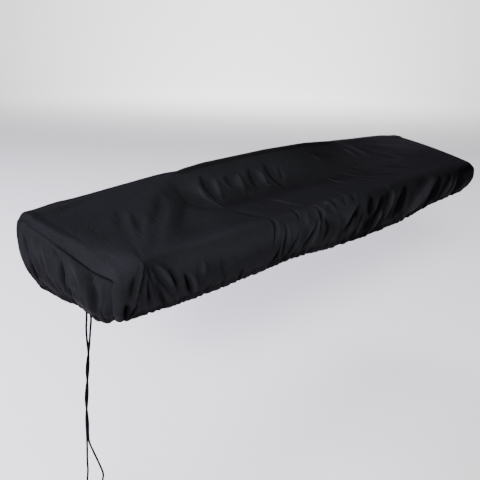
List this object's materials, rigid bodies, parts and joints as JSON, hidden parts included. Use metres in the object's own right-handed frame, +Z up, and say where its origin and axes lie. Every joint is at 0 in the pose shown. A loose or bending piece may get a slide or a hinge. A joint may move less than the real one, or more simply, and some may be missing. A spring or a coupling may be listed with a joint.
{
  "type": "piano cover",
  "caption": "Black fitted cloth dust cover for a digital piano, with end panels, a gathered drawstring hem, a slit along its back edge for a music rest, and cord ends hanging at one end.",
  "frame": {"origin": "under the middle of the top, at the level of what holds the cover's top up", "axes": "+X along the cover's length to the right as seen from its front, +Y to its back, +Z up"},
  "size_m": [1.3857, 0.3002, 0.6263],
  "materials": {
    "black_cloth": "thin coated woven nylon with a soft satin sheen",
    "black_cord": "matt braided polyester cord"
  },
  "bodies": {
    "root": {"main_panel": "black_cloth", "end_panel_left": "black_cloth", "end_panel_right": "black_cloth", "drawcord_a": "black_cord", "drawcord_b": "black_cord", "drawcord_knot_a": "black_cord", "drawcord_knot_b": "black_cord"}
  },
  "joints": []
}
